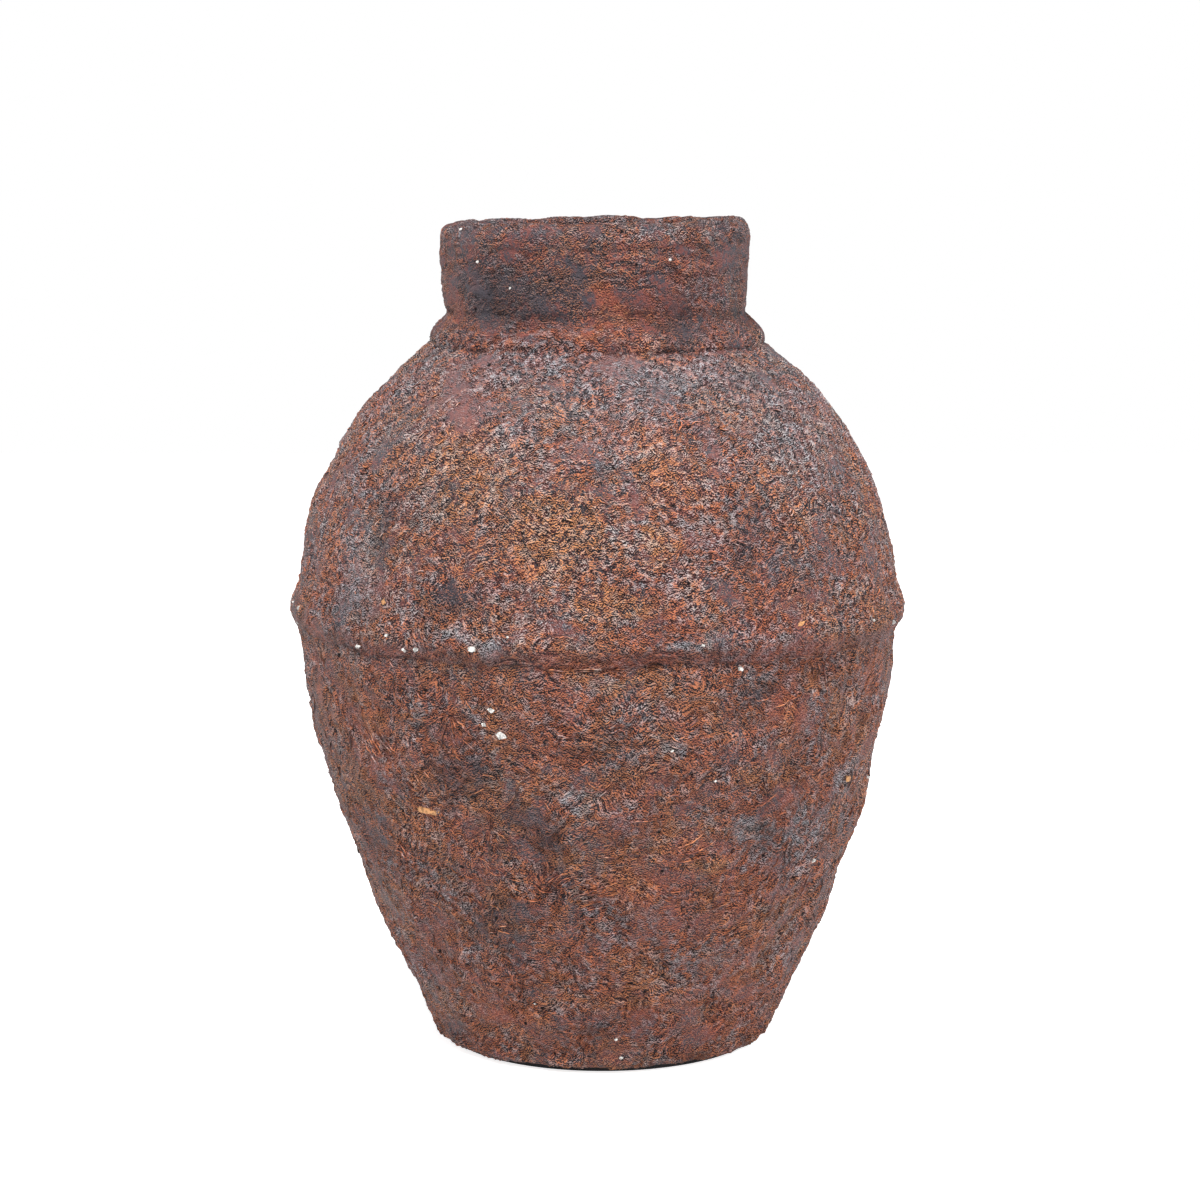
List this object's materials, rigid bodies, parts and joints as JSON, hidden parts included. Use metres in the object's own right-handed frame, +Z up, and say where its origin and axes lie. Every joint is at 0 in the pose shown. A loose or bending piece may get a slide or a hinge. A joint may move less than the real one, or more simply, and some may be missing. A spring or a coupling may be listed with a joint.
{
  "type": "vase",
  "caption": "Hand-built clay vase with a tapered body, a band round its widest part, a ring at the foot of a short neck, a rolled rim and a foam pad under its foot.",
  "frame": {"origin": "centre of the foot, on the surface that the vase stands on", "axes": "+Z up along the axis of the turned form; -Y is the side that faces the camera in the picture, +X its right"},
  "size_m": [0.2968, 0.2968, 0.4],
  "materials": {
    "coat": "coarse grained slip, rust red over charcoal, with a waxy sheen on its ridges",
    "bare_clay": "bare fired clay, dry and open",
    "foam": "matt closed-cell foam"
  },
  "bodies": {
    "root": {"base_pad": "foam", "floor_disc": "bare_clay", "lower_wall": "coat", "shoulder_wall": "coat", "girdle_band": "coat", "neck_ring": "coat", "neck_wall": "coat", "rim_coil": "coat"}
  },
  "joints": []
}
